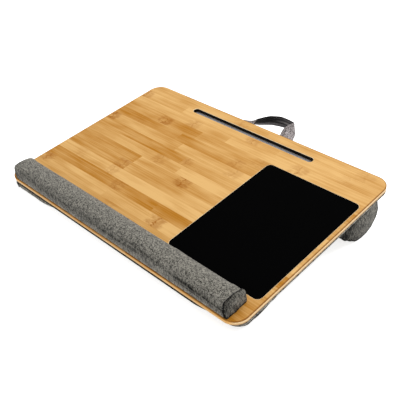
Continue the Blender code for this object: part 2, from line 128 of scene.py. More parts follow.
# The camera of the photograph, and the light in the room
CAMERA_PLACE = (0.67135, -0.67995, 0.62927)
CAMERA_AZIMUTH = radians(44.57)
CAMERA_ELEVATION = radians(33.77)
CAMERA_LENS = 57.2
CAMERA_SHIFT = 0.5 / 401
ROOM_BRIGHTNESS = 0.57
LAMP_PLACE = (0.45, 1.0, 2.2)
LAMP_SIZE = 2.4
LAMP_POWER = 52
FLOOR_REACH = 8.0
FLOOR_DROP = 0.0002

# The length, gap and thickness of the stitches in the cushions' seams and along the strap
SEAM_STITCH = (0.0026, 0.0012, 0.0003)
STRAP_STITCH = (0.0026, 0.0011, 0.00022)


def board_frame():
    """The board's own frame in the world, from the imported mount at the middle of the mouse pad."""
    mount = next(item for item in frame["record"]["mounts"] if item["name"] == "mouse_surface")
    normal = Vector(mount["axis"]).normalized()
    right = Vector((1, 0, 0))
    turn = Matrix((right, normal.cross(right), normal)).transposed()
    centre = pad_centre()
    centre.z = PAD_RISE
    return Matrix.Translation(Vector(mount["pos_m"]) - turn @ centre) @ turn.to_4x4()


def pad_centre():
    return Vector((BOARD_WIDTH / 2 - PAD_FROM_RIGHT - PAD_WIDTH / 2, PAD_FROM_FRONT + PAD_DEPTH / 2, 0))


BOARD_FRAME = board_frame()


class Graph:
    """A material's nodes, made one call at a time round its Principled shader."""

    def __init__(self, name, **values):
        self.material = bpy.data.materials.new(name)
        self.material.use_nodes = True
        self.tree = self.material.node_tree
        self.shader = self.tree.nodes["Principled BSDF"]
        for key, value in values.items():
            self.set(self.shader.inputs[SOCKETS.get(key, key.replace("_", " ").title())], value)

    def set(self, socket, value):
        if isinstance(value, bpy.types.NodeSocket):
            self.tree.links.new(value, socket)
        else:
            socket.default_value = value

    def node(self, kind, inputs=(), **settings):
        made = self.tree.nodes.new("ShaderNode" + kind)
        for name, value in settings.items():
            setattr(made, name, value)
        for place, value in inputs:
            self.set(made.inputs[place], value)
        return made

    def math(self, operation, *values, clamp=False):
        return self.node("Math", enumerate(values), operation=operation, use_clamp=clamp).outputs[0]

    def add(self, first, second):
        return self.math("ADD", first, second)

    def times(self, first, second, clamp=False):
        return self.math("MULTIPLY", first, second, clamp=clamp)

    def held(self, value):
        """The value, held between 0 and 1."""
        return self.math("MAXIMUM", value, 0.0, clamp=True)

    def between(self, value, low, high, start=0.0, end=1.0):
        """Maps low..high smoothly to start..end."""
        inputs = (("Value", value), ("From Min", low), ("From Max", high), ("To Min", start), ("To Max", end))
        return self.node("MapRange", inputs, interpolation_type="SMOOTHSTEP").outputs["Result"]

    def mix(self, share, first, second):
        return self.node("Mix", ((0, share), (6, first), (7, second)), data_type="RGBA").outputs[2]

    def tones(self, value, low, high, first, second):
        """Goes from the first to the second screen colour as the value goes from low to high."""
        return self.mix(self.between(value, low, high), linear(*first), linear(*second))

    def stretched(self, vector, scale):
        return self.node("VectorMath", ((0, vector), (1, scale)), operation="MULTIPLY").outputs[0]

    def noise(self, vector, scale, detail=2.0, roughness=0.5, distortion=0.0):
        """Noise from 0 to 1. The scale is one number, or one for each axis."""
        if isinstance(scale, tuple):
            vector, scale = self.stretched(vector, scale), 1.0
        inputs = (("Vector", vector), ("Scale", scale), ("Detail", detail), ("Roughness", roughness),
                  ("Distortion", distortion))
        return self.node("TexNoise", inputs).outputs["Fac"]

    def cells(self, vector, scale, **settings):
        """How far a place lies from the middle, or from the edge, of its cell."""
        inputs = (("Vector", vector), ("Scale", scale))
        return self.node("TexVoronoi", inputs, **settings).outputs["Distance"]

    def attribute(self, name, output="Fac"):
        return self.node("Attribute", attribute_name=name).outputs[output]

    def axes(self, vector):
        return self.node("SeparateXYZ", ((0, vector),)).outputs

    def place(self):
        """Where a point lies in the board's own frame, which its piece keeps for it."""
        return self.attribute("place", "Vector")

    def here(self):
        return self.node("TexCoord").outputs["Object"]

    def bump(self, height, depth, strength=1.0):
        return self.node("Bump", (("Height", height), ("Distance", depth), ("Strength", strength))).outputs[0]

    def finish(self, colour, roughness=None, normal=None):
        for socket, value in (("Base Color", colour), ("Roughness", roughness), ("Normal", normal)):
            if value is not None:
                self.set(self.shader.inputs[socket], value)
        return self.material


def linear(red, green, blue):
    """A colour given as it shows on a screen, from 0 to 255, as the shader takes it."""
    shares = [value / 255 for value in (red, green, blue)]
    return (*(share / 12.92 if share < 0.04045 else ((share + 0.055) / 1.055) ** 2.4 for share in shares), 1)


def bamboo_material():
    """Laminated bamboo under satin varnish: fibres along X, growth rings, flanks, browned top edges and
    painted shade along the lower edges.
    """
    graph = Graph("varnished_bamboo", specular=0.08, coat=0.015, coat_roughness=0.35)
    here = graph.place()
    x, y, z = graph.axes(here)
    seed = graph.attribute("seed")
    offset = graph.node("CombineXYZ", ((0, graph.times(seed, 3.7)), (1, seed))).outputs[0]
    grain = graph.node("VectorMath", ((0, here), (1, offset)), operation="ADD").outputs[0]
    streaks = graph.noise(grain, (5, 260, 260), 4.0, 0.62, 0.3)
    fibres = graph.noise(grain, (22, 1900, 1900), 3.0, 0.7)
    bundles = graph.noise(grain, (70, 1500, 1500), 1.0)
    clouds = graph.noise(grain, (9, 34, 34))

    # The plank's own tone, and how much each kind of mark lightens or darkens it
    tone = graph.attribute("tone")
    for mark, low, high, least, most in ((streaks, 0.3, 0.7, -0.19, 0.19), (clouds, 0.3, 0.7, -0.24, 0.24),
                                         (fibres, 0.3, 0.75, -0.07, 0.07), (bundles, 0.64, 0.78, 0.0, 0.2)):
        tone = graph.add(tone, graph.between(mark, low, high, least, most))
    colour = graph.mix(graph.held(tone), linear(225, 180, 114), linear(176, 114, 22))

    # The growth ring: a thin line across the plank, in a blotched halo
    wobble = graph.between(graph.noise(grain, (20, 170, 170), 3.0, 0.6), 0.3, 0.7, -0.0035, 0.0035)
    far = graph.math("SUBTRACT", graph.add(x, wobble), graph.attribute("ring"))
    far = graph.math("ABSOLUTE", far)
    blotch = graph.between(graph.noise(grain, (60, 110, 110), 3.0, 0.6), 0.32, 0.60)
    halo = graph.times(graph.between(far, 0.020, 0.011), graph.times(blotch, 0.8))
    line = graph.times(graph.between(far, 0.0024, 0.0006), 0.6)
    ring = graph.times(graph.add(halo, line), graph.attribute("ring_depth"))
    colour = graph.mix(graph.times(ring, 0.75, clamp=True), colour, linear(158, 94, 18))

    # The flank: sawn and pale all round, but planed in front, where its lower half is another layer
    flank = graph.between(z, -0.6 * BOARD_TOP_ROUND, -1.1 * BOARD_TOP_ROUND)
    pores = graph.noise(here, (900, 1500, 1500), 2.0, 0.6)
    sawn = graph.tones(pores, 0.3, 0.7, (255, 236, 196), (222, 186, 130))
    planed = graph.tones(streaks, 0.3, 0.7, (226, 172, 92), (196, 140, 66))
    pale = graph.tones(streaks, 0.3, 0.7, (240, 208, 160), (222, 182, 122))
    planed = graph.mix(graph.between(z, -0.0030, -0.0042), planed, pale)
    front = graph.between(y, 0.006, 0.001)
    colour = graph.mix(graph.times(flank, 0.85), colour, graph.mix(front, sawn, planed))

    # The milled lips, the browned top edges with painted shade along the lower edges, and the dark wall of
    # the slot
    colour = graph.mix(graph.times(graph.attribute("lip"), 0.8), colour, linear(255, 232, 190))
    edge_brown_and_shade = graph.times(graph.attribute("edge_brown_and_shade"), graph.between(streaks, 0.25, 0.6, 0.75, 1.0))
    edge_brown_and_shade = graph.times(edge_brown_and_shade, graph.between(front, 0.0, 1.0, 1.0, 0.4))
    colour = graph.mix(edge_brown_and_shade, colour, linear(140, 90, 32))
    # The slot's wall is coloured near-black
    colour = graph.mix(graph.attribute("dark_slot_wall"), colour, linear(24, 17, 11))

    height = graph.add(graph.times(fibres, 0.6), graph.times(streaks, 0.4))
    height = graph.math("SUBTRACT", height, graph.between(bundles, 0.64, 0.78, 0.0, 0.5))
    return graph.finish(colour, graph.between(fibres, 0.3, 0.7, 0.40, 0.52), graph.bump(height, 0.00006))


def heather_material():
    """Melange woven cloth: pale and dark yarns, a plain weave, a little fuzz, and the seams' dark lines with
    painted shade.
    """
    graph = Graph("grey_heather", roughness=0.94, specular=0.08, sheen_roughness=0.6)
    here = graph.place()
    weft = graph.noise(here, (360, 1000, 1000), 2.0, 0.6)
    warp = graph.noise(here, (1000, 360, 360), 2.0, 0.6)
    yarns = graph.times(graph.add(weft, warp), 0.5)
    slubs = graph.noise(here, (420, 420, 90))
    cloudy = graph.between(graph.noise(here, 130, 3.0, 0.6), 0.3, 0.7, -0.10, 0.10)
    mixed = graph.add(graph.between(yarns, 0.37, 0.63), cloudy)
    mixed = graph.add(mixed, graph.between(slubs, 0.3, 0.7, -0.26, 0.26))
    colour = graph.mix(graph.held(mixed), linear(34, 33, 29), linear(158, 154, 143))
    fluff = graph.between(graph.noise(here, 2100, 1.0), 0.66, 0.80, 0.0, 0.35)
    colour = graph.mix(fluff, colour, linear(172, 168, 158))

    # The 'seam' attribute carries the seams' dark lines and painted shade: in creases and dents, at rims,
    # where pieces meet, on end panels and near the floor. It mixes the cloth towards near-black and takes
    # away its sheen there.
    shade = graph.attribute("seam")
    darkness = graph.times(shade, graph.between(slubs, 0.35, 0.65, 1.18, 0.80), clamp=True)
    colour = graph.mix(darkness, colour, linear(8, 8, 8))
    graph.set(graph.shader.inputs["Sheen Weight"], graph.between(shade, 0.0, 1.0, 0.16, 0.0))

    threads = graph.stretched(graph.attribute("cloth", "Vector"), (9000, 9000, 9000))
    along, around, _ = graph.axes(threads)
    weave = graph.times(graph.math("SINE", along), graph.math("SINE", around))
    height = graph.add(graph.times(weave, 0.35), yarns)
    return graph.finish(colour, normal=graph.bump(height, 0.00022, 0.8))


def pad_material():
    """Matt black synthetic leather with a fine pebble grain."""
    graph = Graph("black_synthetic_leather", specular=0.008)
    here = graph.here()
    pebbles = graph.between(graph.cells(here, 1300.0, feature="DISTANCE_TO_EDGE"), 0.0, 0.25)
    worn = graph.noise(here, 22, 3.0, 0.6)
    colour = graph.mix(graph.between(worn, 0.3, 0.7),
                       (0.0010, 0.0010, 0.0012, 1), (0.0020, 0.0020, 0.0022, 1))
    # Painted shade darkens the creases between the pebbles
    colour = graph.mix(graph.times(pebbles, 0.5), (0.0006, 0.0006, 0.0006, 1), colour)
    return graph.finish(colour, graph.between(worn, 0.3, 0.7, 0.62, 0.74), graph.bump(pebbles, 0.00008, 0.6))


def strap_material():
    """Heather cloth outside; ribbed black webbing inside, pale at its edges, painted light at the right."""
    graph = Graph("strap_cloth", roughness=0.9, specular=0.04, sheen=0.04, sheen_roughness=0.6)
    cloth = graph.attribute("cloth", "Vector")
    along, across, _ = graph.axes(cloth)
    weft = graph.noise(cloth, (300, 600, 1), 2.0, 0.6)
    warp = graph.noise(cloth, (600, 300, 1), 2.0, 0.6)
    yarns = graph.times(graph.add(weft, warp), 0.5)
    outer = graph.tones(yarns, 0.40, 0.60, (82, 77, 78), (190, 182, 182))
    rubbed = graph.between(graph.noise(cloth, (45, 360, 1)), 0.50, 0.66, 0.0, 0.65)
    outer = graph.mix(rubbed, outer, linear(70, 66, 67))

    # Inner face: ribs, pale along one edge, patchy with the weft. Towards the right, painted light: a pale
    # strip along the other edge and a painted highlight along the middle.
    ribs = graph.math("SINE", graph.times(across, 1150))
    right = graph.between(graph.axes(graph.place())[0], -0.005, 0.040)
    lower = graph.times(right, graph.between(across, -0.004, -0.010, 0.3, 0.9))
    worn = graph.math("MAXIMUM", graph.between(across, 0.0025, 0.0065), lower)
    worn = graph.times(worn, graph.between(weft, 0.30, 0.60, 0.55, 1.0))
    inner = graph.mix(worn, graph.tones(ribs, -1.0, 1.0, (6, 6, 7), (26, 26, 28)), linear(96, 93, 96))
    painted_highlight = graph.between(graph.math("ABSOLUTE", graph.add(across, 0.0015)), 0.0030, 0.0010)
    inner = graph.mix(graph.times(painted_highlight, graph.times(right, 0.85)), inner, linear(150, 147, 149))

    colour = graph.mix(graph.attribute("inner"), outer, inner)
    twill = graph.math("SINE", graph.times(graph.add(along, across), 6500))
    height = graph.add(graph.times(twill, 0.3), yarns)
    return graph.finish(colour, normal=graph.bump(height, 0.0002, 0.8))


def thread_material():
    """Twisted sewing thread."""
    graph = Graph("sewing_thread", roughness=0.7, sheen=0.3, sheen_roughness=0.4)
    twist = graph.noise(graph.place(), 5200, 1.0)
    colour = graph.tones(twist, 0.35, 0.65, (52, 52, 52), (112, 112, 110))
    return graph.finish(colour, normal=graph.bump(twist, 0.0001, 0.6))


def tape_material():
    """Closed-cell foam tape."""
    graph = Graph("foam_tape", roughness=0.85, specular=0.2)
    cells = graph.cells(graph.here(), 2600.0)
    colour = graph.tones(cells, 0.1, 0.6, (70, 70, 70), (44, 44, 44))
    return graph.finish(colour, normal=graph.bump(cells, 0.0001, 0.5))


def hardboard_material():
    """Pressed brown hardboard."""
    graph = Graph("hardboard", roughness=0.8, specular=0.3)
    felt = graph.noise(graph.here(), 900, 4.0, 0.7, 1.5)
    colour = graph.tones(felt, 0.3, 0.7, (92, 62, 38), (134, 96, 62))
    return graph.finish(colour, normal=graph.bump(felt, 0.0001, 0.5))


def lining_material():
    """Pale grey cloth, which lines the top of the base panel and shows at the bottom of the slot."""
    graph = Graph("pale_lining", roughness=0.95, specular=0.1)
    nap = graph.noise(graph.place(), (500, 1400, 1400), 3.0, 0.6)
    colour = graph.tones(nap, 0.3, 0.7, (150, 150, 154), (200, 200, 205))
    return graph.finish(colour, normal=graph.bump(nap, 0.0002, 0.8))


def floor_material():
    """White paper, very slightly uneven, lit up to the pure white of the photograph."""
    graph = Graph("white_floor", roughness=0.9, specular=0.1, glow=0.70)
    pulp = graph.noise(graph.here(), 300)
    return graph.finish(graph.tones(pulp, 0.3, 0.7, (244, 244, 244), (248, 248, 248)))


def rounded_levels(top, bottom, top_round, bottom_round, steps):
    """Heights and insets down the side of a plate whose upper and lower edges are rounded."""
    turns = [QUARTER_TURN * step / steps for step in range(steps + 1)]
    upper = [(top - top_round * (1 - cos(turn)), top_round * (1 - sin(turn))) for turn in turns]
    lower = [(bottom + bottom_round * (1 - cos(turn)), bottom_round * (1 - sin(turn))) for turn in turns]
    return upper + lower[::-1]


def plate(name, width, depth, radius, steps, levels, centre):
    """A plate with round corners. Each level is a height and how far the outline is drawn in there."""
    rings = []
    for height, inset in levels:
        ring = []
        for quarter, (side_x, side_y) in enumerate(((1, 1), (-1, 1), (-1, -1), (1, -1))):
            x, y = centre.x + side_x * (width / 2 - radius), centre.y + side_y * (depth / 2 - radius)
            for step in range(steps + 1):
                angle = QUARTER_TURN * (quarter + step / steps)
                ring.append((x + (radius - inset) * cos(angle), y + (radius - inset) * sin(angle), height))
        rings.append(ring)
    return mesh_from_rings(name, rings)


def in_scene(name, data):
    """A new object in the scene."""
    thing = bpy.data.objects.new(name, data)
    bpy.context.scene.collection.objects.link(thing)
    return thing


def new_object(name, mesh, material):
    """An object made of a mesh in the board's frame, shaded smooth, which stands in its place in the world.

    Each point keeps its place in the board's frame for the material, and none goes under the floor.
    """
    write(mesh, "place", [vertex.co for vertex in mesh.vertices])
    mesh.transform(BOARD_FRAME)
    for vertex in mesh.vertices:
        vertex.co.z = max(vertex.co.z, 0.0)
    mesh.materials.append(material)
    mesh.shade_smooth()
    return in_scene(name, mesh)


def write(mesh, name, values):
    """Keeps a number or a vector at each of the mesh's points."""
    values = np.asarray(values, np.float32)
    kind, field = ("FLOAT", "value") if values.size == len(mesh.vertices) else ("FLOAT_VECTOR", "vector")
    mesh.attributes.new(name, kind, "POINT").data.foreach_set(field, values.ravel())


def form_of(mesh):
    """The mesh, ready to be edited."""
    form = bmesh.new()
    form.from_mesh(mesh)
    return form


def keep(form, mesh):
    """Puts an edited form back into its mesh."""
    form.to_mesh(mesh)
    form.free()
    return mesh


def turn_outwards(form, mesh, weld):
    """Joins the points that lie together, turns every face outwards and keeps the form in the mesh."""
    bmesh.ops.remove_doubles(form, verts=form.verts, dist=weld)
    bmesh.ops.recalc_face_normals(form, faces=form.faces)
    return keep(form, mesh)


def divide(form, place, normal, faces=None):
    """Cuts the form's faces, or the given ones, where a plane crosses them."""
    faces = form.faces if faces is None else faces
    parts = dict.fromkeys(part for face in faces for part in (face, *face.edges, *face.verts))
    bmesh.ops.bisect_plane(form, geom=list(parts), plane_co=place, plane_no=normal)


def skin_over(form, rings):
    """Adds a skin over rings of equal count, with a face on the first and the last."""
    rows = [[form.verts.new(point) for point in ring] for ring in rings]
    for row, following in zip(rows, rows[1:]):
        for i, corner in enumerate(row):
            j = (i + 1) % len(row)
            form.faces.new((corner, row[j], following[j], following[i]))
    form.faces.new(rows[0])
    form.faces.new(rows[-1])


def mesh_from_rings(name, rings):
    form = bmesh.new()
    skin_over(form, rings)
    return turn_outwards(form, bpy.data.meshes.new(name), WELD)


def carved(mesh, cutters):
    """The mesh with the cutters' shapes taken out of it."""
    body = in_scene("carved_body", mesh)
    tools = []
    for cutter in cutters:
        tools.append(in_scene("cutter", cutter))
        cut = body.modifiers.new("cut", "BOOLEAN")
        cut.operation = "DIFFERENCE"
        cut.solver = "EXACT"
        cut.object = tools[-1]
    view = bpy.context.evaluated_depsgraph_get()
    result = bpy.data.meshes.new_from_object(body.evaluated_get(view), depsgraph=view)
    for thing in (body, *tools):
        bpy.data.objects.remove(thing, do_unlink=True)
    return result


def even_shading(thing):
    """Shades the flat faces flat and the rounded edges round."""
    even = thing.modifiers.new("even_shading", "WEIGHTED_NORMAL")
    even.keep_sharp = True


def build_board(material):
    """The bamboo board, divided into its strips and planks, so that each can have its own tone and grain."""
    corner_steps, round_steps, slot_steps = 20, 5, 16
    centre = Vector((0, BOARD_DEPTH / 2, 0))
    levels = rounded_levels(0, -BOARD_THICKNESS, BOARD_TOP_ROUND, BOARD_BOTTOM_ROUND, round_steps)
    levels.insert(0, (0, 2 * BOARD_TOP_ROUND))
    levels.insert(round_steps + 2, (-1.6 * BOARD_TOP_ROUND, 0))
    body = plate("board_body", BOARD_WIDTH, BOARD_DEPTH, BOARD_CORNER_RADIUS, corner_steps, levels, centre)
    slot_levels = ((OVERRUN, -SLOT_LIP), (0, -SLOT_LIP), (-SLOT_LIP, 0), (-BOARD_THICKNESS - OVERRUN, 0))
    slot_centre = Vector((SLOT_OFFSET, BOARD_DEPTH - SLOT_FROM_BACK, 0))
    slot = plate("slot", SLOT_LENGTH, SLOT_WIDTH, SLOT_WIDTH / 2, slot_steps, slot_levels, slot_centre)
    recess_levels = ((OVERRUN, -RECESS_LIP), (0, -RECESS_LIP), (-RECESS_LIP / 2, 0), (-RECESS_DEPTH, 0))
    recess = plate("recess", PAD_WIDTH + 2 * CLEARANCE, PAD_DEPTH + 2 * CLEARANCE,
                   PAD_CORNER_RADIUS + CLEARANCE, slot_steps, recess_levels, pad_centre())
    mesh = carved(body, (slot, recess))
    form = form_of(mesh)
    for row in range(len(STRIPS) - 1):
        divide(form, (0, FIRST_STRIP + row * STRIP_WIDTH, 0), (0, 1, 0))
    for row, planks in enumerate(STRIPS):
        for start, _, _, _ in planks[1:]:
            faces = [face for face in form.faces if row_of(face.calc_center_median().y) == row]
            divide(form, (start - BOARD_WIDTH / 2, 0, 0), (1, 0, 0), faces)
    mark_planks(form)
    keep(form, mesh)
    write(mesh, "edge_brown_and_shade", [browning(vertex.co) for vertex in mesh.vertices])
    board = new_object("bamboo_top", mesh, material)
    even_shading(board)
    return board


def row_of(y):
    """The number of the strip that a place lies in, counted from the front."""
    return min(max(ceil((y - FIRST_STRIP) / STRIP_WIDTH), 0), len(STRIPS) - 1)


def mark_planks(form):
    """Writes on each face what its plank looks like, and whether it is a milled lip or the slot's wall."""
    names = ("tone", "seed", "ring", "ring_depth", "lip", "dark_slot_wall")
    layers = [form.faces.layers.float.new(name) for name in names]
    for face in form.faces:
        middle = face.calc_center_median()
        row = row_of(middle.y)
        starts = [plank[0] for plank in STRIPS[row]]
        number = max(i for i, start in enumerate(starts) if i == 0 or middle.x + BOARD_WIDTH / 2 > start)
        _, tone, ring, depth = STRIPS[row][number]
        seed = row * 1.37 + number * 0.61
        inside = edge_distance(middle) > 2 * BOARD_TOP_ROUND
        lip = inside and -SLOT_LIP < middle.z < -WELD and 0.1 < face.normal.z < 0.98
        dark_slot_wall = inside and -BOARD_THICKNESS < middle.z < -RECESS_DEPTH - WELD
        for layer, value in zip(layers, (tone, seed, ring - BOARD_WIDTH / 2, depth, float(lip), float(dark_slot_wall))):
            face[layer] = value


def edge_distance(place):
    """How far inside the board's outline a place lies."""
    out = Vector((abs(place.x) - BOARD_WIDTH / 2 + BOARD_CORNER_RADIUS,
                  abs(place.y - BOARD_DEPTH / 2) - BOARD_DEPTH / 2 + BOARD_CORNER_RADIUS))
    corner = Vector((max(out.x, 0), max(out.y, 0))).length
    return BOARD_CORNER_RADIUS - corner - min(max(out.x, out.y), 0)


def browning(place):
    """How brown the board is there: on its rounded top edge, and along its lower edge, where it is painted
    shade.
    """
    if edge_distance(place) > 1.5 * BOARD_TOP_ROUND:
        return 0.0
    top = (1.6 - (edge_distance(place) - place.z) / BOARD_TOP_ROUND) / 0.8
    # Painted shade along the lower edge, over the gap to the panel
    low = 0.8 if place.z < -BOARD_THICKNESS + 1.5 * BOARD_BOTTOM_ROUND else 0.0
    return min(1.0, max(top, low, 0.0))


def build_panel(material):
    """The fabric-wrapped panel under the board, with a hem sewn round its underside, and painted shade along
    its front edge and on its lower rounding.
    """
    corner_steps, round_steps = 20, 6
    hem_inset, hem_half_width, hem_depth = 0.0075, 0.0009, 0.0005
    hem_darkness, painted_front_shadow, painted_under_shade = 0.6, 0.9, 0.4
    centre = Vector((0, BOARD_DEPTH / 2, 0))
    levels = rounded_levels(PANEL_TOP, PANEL_UNDERSIDE, PANEL_EDGE_ROUND, PANEL_EDGE_ROUND, round_steps)
    for side in range(-2, 3):
        levels.append((PANEL_UNDERSIDE + (0 if side else hem_depth), hem_inset + side * hem_half_width))
    mesh = plate("panel", BOARD_WIDTH - 2 * PANEL_INSET, BOARD_DEPTH - 2 * PANEL_INSET,
                 BOARD_CORNER_RADIUS - PANEL_INSET, corner_steps, levels, centre)
    near = draw_in_front(mesh)
    places = np.array([vertex.co for vertex in mesh.vertices])
    write(mesh, "cloth", places)
    sunk = np.abs(places[:, 2] - PANEL_UNDERSIDE - hem_depth) < hem_depth / 2
    inner = np.abs(places[:, 0]) < BOARD_WIDTH / 2 - hem_inset / 2
    under = held((PANEL_UNDERSIDE + PANEL_EDGE_ROUND - places[:, 2]) / PANEL_EDGE_ROUND)
    # Painted shade: dark along the front edge under the board, and on the lower rounding
    shade = np.maximum(painted_front_shadow * near, painted_under_shade * under)
    write(mesh, "seam", np.where(sunk & inner, hem_darkness, shade))
    panel = new_object("fabric_base_panel", mesh, material)
    mesh.materials.append(lining_material())
    for face in mesh.polygons:
        face.material_index = 1 if face.area > 0.1 and face.normal.z > 0.5 else 0
    even_shading(panel)
    return panel


def draw_in_front(mesh):
    """Lets the panel's front edge hang a little, and draws it in under the board towards its right end.

    Tells for each point how near it lies to that edge, from 0 to 1.
    """
    start, end, cuts = 0.195, 0.235, 8
    depth, sag, reach = 0.0036, 0.0010, 0.012
    form = form_of(mesh)
    for place in np.linspace(start, end, cuts):
        divide(form, (place, 0, 0), (1, 0, 0))
    nearness = []
    for vertex in form.verts:
        share = eased((vertex.co.x - start) / (end - start))
        near = held(1 - vertex.co.y / reach)
        nearness.append(near)
        vertex.co.y += depth * near * share
        vertex.co.z -= sag * near * (1 - share)
    keep(form, mesh)
    return np.array(nearness)


def held(share):
    """The share, held between 0 and 1."""
    return np.clip(share, 0, 1)


def eased(share):
    """The share, held between 0 and 1, and smoothed at both ends."""
    share = held(share)
    return share * share * (3 - 2 * share)


def smooth_curve(points, count):
    """Points on a smooth curve through the given ones, as many between each two."""
    points = np.asarray(points, float)
    last = len(points) - 1
    along = np.linspace(0, last, count)
    i = np.minimum(along.astype(int), last - 1)
    t = (along - i)[:, None]
    before, start, end, after = (points[np.clip(i + step, 0, last)] for step in (-1, 0, 1, 2))
    pull = 2 * start + (end - before) * t
    bend = (2 * before - 5 * start + 4 * end - after) * t ** 2
    twist = (3 * start - before - 3 * end + after) * t ** 3
    return (pull + bend + twist) / 2


class Roll:
    """A stuffed roll lying along X, sewn down along its flat side, with a panel sewn into each end.

    A point of its skin is given by its place along the skin and its share of the way round, from the front
    rim of the flat side over the crown to the back rim. Beyond the end seams, the place runs over the panel.
    - sections: the outlines at mid length and at the ends; size: length, width and thickness
    - dome: how far an end panel stands out
    - ends: what shares of the width and the thickness are left at the left and at the right end
    - tips: what shares of those the round rim of an end panel leaves flat
    - side: 1 for a roll that lies on its flat side, -1 for one that hangs from it
    - rounded: the share of the way over an end panel that its round rim takes
    - sewn: how far onto its panel the left seam lies
    - valley: a long dent's share of the way round, its half width as such a share, its depth
    - bulge: how far the front swells out at the left, and between which places that fades
    """

    def __init__(self, sections, size, dome, ends, tips, place, side, rounded=0.6, sewn=0.0,
                 valley=(0.0, 1.0, 0.0), bulge=(0.0, 0.0, 1.0)):
        length, width, thickness = size
        self.curves = []
        for shares in sections:
            curve = smooth_curve(np.array(shares) * (width, thickness), 40 * len(shares))
            steps = np.concatenate([[0], np.cumsum(np.linalg.norm(np.diff(curve, axis=0), axis=1))])
            self.curves.append((steps / steps[-1], curve))
            self.girth = steps[-1]
        self.dome = dome
        self.ends = ends
        self.tips = tips
        self.place = place
        self.side = side
        self.seam = length / 2 - dome
        self.cap = width / 2
        self.rounded = rounded if max(tips) > 0 else 1.0
        self.sewn = sewn
        self.valley = valley
        self.bulge = bulge
        self.floor = place[2] + side * thickness

    def skin(self, along, round_shares):
        """Places of the skin's points, for lists of places along it and shares round it."""
        beyond = held((np.abs(along) - self.seam) / self.cap)
        turn = np.minimum(beyond / self.rounded, 1) * QUARTER_TURN
        closing = 1 - held((beyond - self.rounded) / (1 - self.rounded + WELD))
        inside = held(np.abs(along) / self.seam)
        left = held(0.5 - along / self.seam)
        shares = []
        for axis, tip in enumerate(self.tips):
            end = self.ends[0][axis] * left + self.ends[1][axis] * (1 - left)
            shares.append((1 - (1 - end) * inside ** 4) * (tip + (1 - tip) * np.cos(turn)) * closing)
        fading = (inside ** 6)[:, None]
        outline = []
        for axis in (0, 1):
            middle, end = [np.interp(round_shares, around, curve[:, axis]) for around, curve in self.curves]
            outline.append(middle[None, :] * (1 - fading) + end[None, :] * fading)
        y, z = outline
        centre = 0.56 * y[:, :1] + 0.44 * y[:, -1:]
        x = np.sign(along) * (np.minimum(np.abs(along), self.seam) + self.dome * np.sin(turn))
        grid = np.empty((len(along), len(round_shares), 3))
        grid[..., 0] = x[:, None]
        grid[..., 1] = centre + (y - centre) * shares[0][:, None]
        grid[..., 2] = self.side * z * shares[1][:, None]
        depth, full, none = self.bulge
        swell = depth * eased((none - x) / (none - full)) * np.minimum(shares[0], 1)
        around = np.interp(round_shares, (0, 0.04, 0.10, 0.22, 0.45), (0.15, 0.5, 1.0, 0.9, 0))
        grid[..., 1] -= swell[:, None] * around[None, :]
        return grid + np.array(self.place)

    def off_seam(self, along):
        """How far beyond the end seam each place lies."""
        return np.abs(along) - self.seam - np.where(along < 0, self.sewn, 0.0)

    def wrinkle(self, cloth, round_shares, seed):
        """The long wrinkle that runs along the valley, broken here and there."""
        if not self.valley[2]:
            return np.zeros(cloth.shape[:2])
        wander = self.valley[0] + 0.025 + 0.020 * ripples(cloth, (9, 0.01, 1), seed + 21)
        run = held(0.45 + 2.4 * ripples(cloth, (10, 0.01, 1), seed + 13))
        inside = held((self.seam - np.abs(cloth[..., 0])) / 0.06)
        return run * inside * np.exp(-((round_shares[None, :] - wander) / 0.016) ** 2)

    def stations(self, step, seam_step):
        """Places along the skin, closer together near the end seams."""
        near = 0.004 + self.sewn
        cap = np.linspace(self.seam + near, self.seam + self.cap, max(3, int((self.cap - near) / step)) + 1)
        seam = np.arange(self.seam - near, self.seam + near - WELD, seam_step)
        middle = np.linspace(0, self.seam - near, int((self.seam - near) / step) + 1)[:-1]
        half = np.concatenate([middle, seam, cap])
        return np.concatenate([-half[:0:-1], half])


def grid_faces(rows, columns):
    """Quads of a grid of points, closed underneath between the first and the last column."""
    faces = []
    for i in range(rows - 1):
        for j in range(columns):
            k = (j + 1) % columns
            faces.append((i * columns + j, i * columns + k, (i + 1) * columns + k, (i + 1) * columns + j))
    return faces


def mesh_from_grid(name, grid):
    """A mesh over a grid of points."""
    mesh = bpy.data.meshes.new(name)
    mesh.from_pydata(grid.reshape(-1, 3).tolist(), [], grid_faces(*grid.shape[:2]))
    return mesh


def outward(grid, side):
    """The unit normals of a grid of points, out of the roll."""
    along = np.gradient(grid, axis=0)
    around = np.gradient(grid, axis=1)
    normals = np.cross(around, along) * side
    lengths = np.linalg.norm(normals, axis=2, keepdims=True)
    return normals / np.maximum(lengths, 1e-12)


# The cloth simulation that blows up the covers, which are cut too large by a share of their size
CLOTH = {"quality": 5, "mass": 0.15, "tension_stiffness": 12, "compression_stiffness": 12,
         "shear_stiffness": 6, "bending_stiffness": 0.4, "use_pressure": True, "uniform_pressure_force": 4,
         "vertex_group_mass": "held", "shrink_min": -0.03}
CLOTH_INSET = 0.0012
CLOTH_FRAMES = 20


